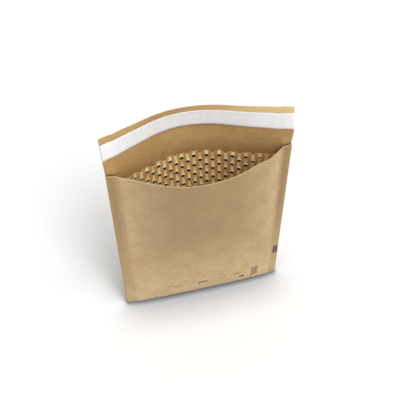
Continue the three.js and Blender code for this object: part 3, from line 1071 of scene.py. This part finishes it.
class ENVELOPE_OT_release_strip(bpy.types.Operator):
    """Lay the white release strip along the flap, over the adhesive"""

    bl_idname = "envelope.release_strip"
    bl_label = "Release strip"

    def execute(self, context):
        form = Form()
        s = form.sizes
        lower, upper = form.strip_start + s.release_lift, form.hem_start + s.release_lift
        piece = flap_band(
            form, "release_strip", s.release_trim, lower, upper, s.release_depth, s.release_paper
        )
        made = release_paper(form, context.scene.envelope_colours)
        finish_piece(piece, made, "release_paper", "release_liner")
        return {"FINISHED"}


class ENVELOPE_OT_adhesives(bpy.types.Operator):
    """Lay the adhesive under the release strip, and give the seam glue the same hot melt finish"""

    bl_idname = "envelope.adhesives"
    bl_label = "Adhesives"

    def execute(self, context):
        form = Form()
        s = form.sizes
        made = hot_melt(context.scene.envelope_colours)
        lower, upper = form.strip_start + s.glue_margin, form.hem_start - s.glue_margin
        piece = flap_band(form, "adhesive_band", s.glue_trim, lower, upper, s.lining_depth, s.flap_glue)
        finish_piece(piece, made, "hot_melt", "flap_adhesive")
        for name in ("left_seam_glue", "right_seam_glue"):
            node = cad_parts[name]
            node.data.materials.clear()
            node.data.materials.append(made)
        return {"FINISHED"}


class ENVELOPE_OT_printing(bpy.types.Operator):
    """Print small plain shapes near the foot of the front"""

    bl_idname = "envelope.printing"
    bl_label = "Printing"

    # In millimetres: middle across, middle up the front, width, height, and how strongly it is printed
    BLOCKS = (
        (115.8, 63.0, 7.6, 18.0, 1.0),
        (62.0, 25.0, 8.0, 5.0, 1.0),
        (53.0, 36.0, 9.0, 3.0, 0.35),
        (-1.5, 36.5, 16.0, 4.5, 0.65),
        (-44.0, 40.0, 22.0, 2.0, 0.4),
        (-40.0, 34.5, 15.0, 1.6, 0.35),
        (-58.5, 29.0, 3.0, 2.5, 0.4),
    )
    BLOCK_ROWS = 4
    PATCH = (83.0, 30.0, 11.5, 22.0, 0.75)
    PATCH_BARS = 6
    BAR_SHARE = 0.62
    # Middle across, middle up the front, half width, half height, and how strongly it is printed
    RING = (29.5, 39.5, 5.0, 6.5, 0.35)
    RING_LINE = 0.12
    RING_STEPS = 32
    LIFT = 0.06 * MM
    INK = 0.05 * MM
    SAME_POINT = 0.001

    def execute(self, context):
        form = Form()
        sheet = bmesh.new()
        strength = sheet.verts.layers.float.new("strength")
        for block in self.BLOCKS:
            self.block(sheet, strength, *block)
        self.patch(sheet, strength)
        self.ring(sheet, strength)
        bmesh.ops.remove_doubles(sheet, verts=sheet.verts, dist=self.SAME_POINT)
        mesh = bpy.data.meshes.new("printing")
        sheet.to_mesh(mesh)
        sheet.free()
        flat = coordinates(mesh) * MM
        side = np.full(len(flat), float(FRONT))
        lift = np.full(len(flat), -self.LIFT)
        set_coordinates(mesh, form.place(flat[:, 0], side, np.ones(len(flat)), flat[:, 1], lift))
        piece = new_object("printing", mesh)
        thicken(piece, self.INK)
        finish_piece(piece, printing_ink(context.scene.envelope_colours), "kraft_paper")
        return {"FINISHED"}

    @staticmethod
    def shape(sheet, strength, columns, rows, ink, to_flat):
        """A grid from -1 to 1 both ways, set on the flat front by to_flat."""
        made = bmesh.ops.create_grid(sheet, x_segments=columns, y_segments=rows, size=1)
        for vertex in made["verts"]:
            vertex.co = (*to_flat(vertex.co.x, vertex.co.y), 0)
            vertex[strength] = ink

    def block(self, sheet, strength, across, up, width, height, ink):
        def to_flat(x, y):
            return across + x * width / 2, up + y * height / 2

        self.shape(sheet, strength, max(2, round(width / 2)), self.BLOCK_ROWS, ink, to_flat)

    def patch(self, sheet, strength):
        """A square of thin bars."""
        across, up, width, height, ink = self.PATCH
        pitch = height / self.PATCH_BARS
        for bar in range(self.PATCH_BARS):
            middle = up - height / 2 + (bar + 0.5) * pitch
            self.block(sheet, strength, across, middle, width, self.BAR_SHARE * pitch, ink)

    def ring(self, sheet, strength):
        across, up, half_width, half_height, ink = self.RING

        def to_flat(x, y):
            turn = -math.pi * x
            reach = 1 + self.RING_LINE * y
            return across + half_width * reach * math.cos(turn), up + half_height * reach * math.sin(turn)

        self.shape(sheet, strength, self.RING_STEPS, 1, ink, to_flat)


def towards(azimuth, height):
    """The direction of something seen from the part. The azimuth runs from the front to the right."""
    return Vector((
        math.sin(azimuth) * math.cos(height),
        -math.cos(azimuth) * math.cos(height),
        math.sin(height),
    ))


class ENVELOPE_OT_studio(bpy.types.Operator):
    """Set up the white floor, the soft lights and the camera"""

    bl_idname = "envelope.studio"
    bl_label = "Studio"

    FLOOR_HALF = 6.0
    FLOOR_DROP = 0.2 * MM
    FLOOR_GLOW = 0.03
    SHADE_SAMPLES = 16
    SHADED = 0.45
    OPEN = 1.0
    SENSOR_MM = 36

    def execute(self, context):
        scene = context.scene
        self.floor(scene)
        self.surroundings(scene)
        self.lamps(scene)
        self.camera(scene)
        scene.view_settings.view_transform = "Standard"
        return {"FINISHED"}

    def floor(self, scene):
        grid = bmesh.new()
        bmesh.ops.create_grid(grid, x_segments=1, y_segments=1, size=self.FLOOR_HALF)
        bmesh.ops.translate(grid, verts=grid.verts, vec=(0, 0, -self.FLOOR_DROP))
        mesh = bpy.data.meshes.new("studio_floor")
        grid.to_mesh(mesh)
        grid.free()
        mesh.materials.append(self.floor_white(scene))
        floor = new_object("studio_floor", mesh)

    def floor_white(self, scene):
        """A matt white floor with painted shade: a little grey around the envelope and darker right beside
        its fold.
        """
        made, tree = new_material("studio_white")
        colours = scene.envelope_colours
        stage = scene.stage_sizes
        skin = colours.ground
        for reach, shade in (
            (stage.shade_reach, colours.ground_shade),
            (stage.contact_reach, colours.contact_shade),
        ):
            # Painted shade on the floor, from how open it is around each point.
            seen = add(tree, "AmbientOcclusion", {"Distance": reach}, samples=self.SHADE_SAMPLES)
            skin = laid_over(tree, shade, skin, seen.outputs["AO"], self.SHADED, self.OPEN)
        to_camera = add(tree, "LightPath").outputs["Is Camera Ray"]
        glow = add(tree, "Math", {0: to_camera, 1: self.FLOOR_GLOW}, operation="MULTIPLY")
        finish_surface(tree, {
            "Base Color": skin, "Roughness": 1.0, "Specular IOR Level": 0.0, "Emission Strength": glow
        })
        return made

    @staticmethod
    def surroundings(scene):
        """An even sky that lights the envelope, and a white backdrop that only the camera and
        reflections see."""
        world = bpy.data.worlds.new("studio")
        world.use_nodes = True
        tree = world.node_tree
        tree.nodes.clear()
        white = scene.envelope_colours.ground
        rays = add(tree, "LightPath").outputs
        mirrored = add(
            tree, "Math", {0: rays["Is Glossy Ray"], 1: rays["Is Transmission Ray"]}, operation="MAXIMUM"
        )
        seen = add(tree, "Math", {0: rays["Is Camera Ray"], 1: mirrored}, operation="MAXIMUM")
        sky = add(tree, "Background", {"Color": white, "Strength": scene.stage_sizes.sky})
        backdrop = add(tree, "Background", {"Color": white, "Strength": 1.0})
        shown = add(tree, "MixShader", {0: seen, 1: sky, 2: backdrop})
        add(tree, "OutputWorld", {"Surface": shown})
        scene.world = world

    @staticmethod
    def lamps(scene):
        """Two soft lamps far away."""
        s = scene.stage_sizes
        for name, azimuth, height, strength in (
            ("key_light", s.key_azimuth, s.key_height, s.key_strength),
            ("side_light", s.side_azimuth, s.side_height, s.side_strength),
        ):
            data = bpy.data.lights.new(name, "SUN")
            data.angle = s.softness
            data.energy = strength
            lamp = bpy.data.objects.new(name, data)
            lamp.rotation_euler = towards(azimuth, height).to_track_quat("Z", "Y").to_euler()
            scene.collection.objects.link(lamp)

    def camera(self, scene):
        s = scene.stage_sizes
        data = bpy.data.cameras.new("camera")
        data.lens = s.focal / MM
        data.sensor_width = self.SENSOR_MM
        camera = bpy.data.objects.new("camera", data)
        back = towards(s.azimuth, s.pitch)
        target = Vector((s.target_x, s.target_y, s.target_z))
        aim = (-back).to_track_quat("-Z", "Y").to_matrix().to_4x4()
        turn = aim @ Matrix.Rotation(s.roll, 4, "Z")
        camera.matrix_world = Matrix.Translation(target + back * s.distance) @ turn
        scene.collection.objects.link(camera)
        scene.camera = camera


class ENVELOPE_PT_panel(bpy.types.Panel):
    """Lists the steps that build the envelope"""

    bl_label = "Envelope"
    bl_idname = "ENVELOPE_PT_panel"
    bl_space_type = "VIEW_3D"
    bl_region_type = "UI"
    bl_category = "Envelope"

    def draw(self, context):
        for operator in OPERATORS:
            self.layout.operator(operator.bl_idname)


OPERATORS = (
    ENVELOPE_OT_kraft_sheet,
    ENVELOPE_OT_slit_lining,
    ENVELOPE_OT_release_strip,
    ENVELOPE_OT_adhesives,
    ENVELOPE_OT_printing,
    ENVELOPE_OT_studio,
)
GROUPS = {
    "envelope_sizes": EnvelopeSizes,
    "lining_sizes": LiningSizes,
    "envelope_colours": EnvelopeColours,
    "stage_sizes": StageSizes,
}


def register():
    for group in GROUPS.values():
        bpy.utils.register_class(group)
    for name, group in GROUPS.items():
        setattr(bpy.types.Scene, name, PointerProperty(type=group))
    for operator in OPERATORS:
        bpy.utils.register_class(operator)
    bpy.utils.register_class(ENVELOPE_PT_panel)


def unregister():
    bpy.utils.unregister_class(ENVELOPE_PT_panel)
    for operator in reversed(OPERATORS):
        bpy.utils.unregister_class(operator)
    for name, group in GROUPS.items():
        delattr(bpy.types.Scene, name)
        bpy.utils.unregister_class(group)


def main():
    register()
    bpy.ops.envelope.kraft_sheet()
    bpy.ops.envelope.slit_lining()
    bpy.ops.envelope.release_strip()
    bpy.ops.envelope.adhesives()
    bpy.ops.envelope.printing()
    bpy.ops.envelope.studio()


if __name__ == "__main__":
    main()
